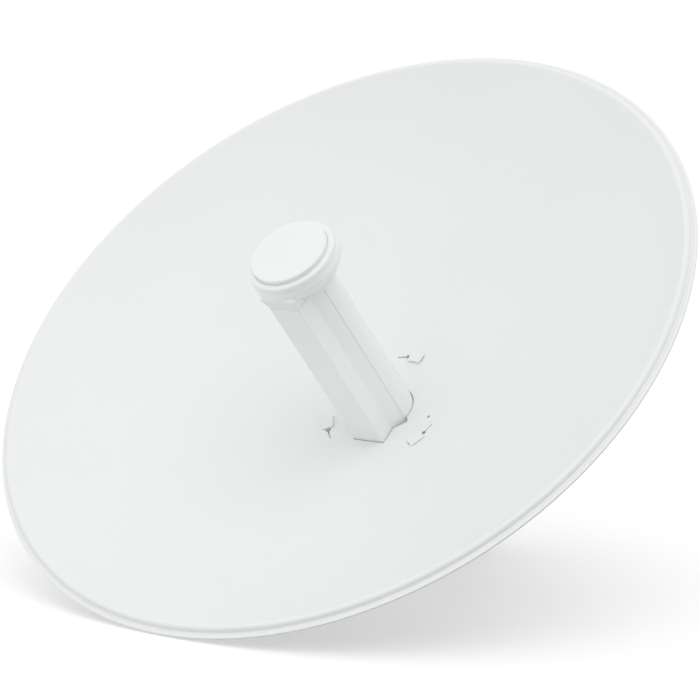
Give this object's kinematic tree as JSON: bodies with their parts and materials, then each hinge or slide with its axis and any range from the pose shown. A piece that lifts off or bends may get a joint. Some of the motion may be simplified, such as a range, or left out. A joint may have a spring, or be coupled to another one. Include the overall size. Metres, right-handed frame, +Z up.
{
  "type": "wireless bridge dish antenna",
  "caption": "Round parabolic dish antenna for a wireless bridge: pressed bowl with rolled rim, keyhole feed column with a round cap, rear radio housing, tilting bracket and pole clamps.",
  "frame": {"origin": "middle of the footprint of the whole antenna, on the level ground it leans on", "axes": "+X to the right as the bowl is faced, -Y the way the bowl looks, which is also 47 degrees up, +Z up from the ground"},
  "size_m": [0.6494, 0.4748, 0.4448],
  "materials": {
    "dish_paint": "white powder coat with a soft sheen on pressed steel sheet",
    "feed_plastic": "fine satin white moulded plastic",
    "housing_plastic": "satin white moulded plastic",
    "bracket_paint": "light powder coat on bent steel plate",
    "zinc": "zinc-plated steel fasteners, slightly dull",
    "grommet_rubber": "matt black rubber"
  },
  "bodies": {
    "root": {"cable_grommet": "grommet_rubber", "cable_port": "housing_plastic", "cable_port_door": "housing_plastic", "clamp_bolt_1": "zinc", "clamp_bolt_2": "zinc", "clamp_bolt_3": "zinc", "clamp_bolt_4": "zinc", "clamp_nut_1": "zinc", "clamp_nut_2": "zinc", "clamp_nut_3": "zinc", "clamp_nut_4": "zinc", "dish_bracket": "bracket_paint", "dish_reflector": "dish_paint", "elevation_lock_bolt": "zinc", "elevation_lock_nut": "zinc", "elevation_pivot_bolt": "zinc", "elevation_pivot_nut": "zinc", "feed_cap_disc": "feed_plastic", "feed_cap_ring": "feed_plastic", "feed_neck": "feed_plastic", "feed_spine": "feed_plastic", "feed_tube": "feed_plastic", "ground_terminal": "zinc", "locking_lug_1": "housing_plastic", "locking_lug_2": "housing_plastic", "locking_lug_3": "housing_plastic", "mounting_nut_1": "zinc", "mounting_nut_2": "zinc", "mounting_nut_3": "zinc", "mounting_nut_4": "zinc", "mounting_stud_1": "zinc", "mounting_stud_2": "zinc", "mounting_stud_3": "zinc", "mounting_stud_4": "zinc", "pole_bracket": "bracket_paint", "pole_clamp_lower": "bracket_paint", "pole_clamp_upper": "bracket_paint", "pole_saddle_lower": "bracket_paint", "pole_saddle_upper": "bracket_paint", "rear_housing": "housing_plastic"}
  },
  "joints": []
}
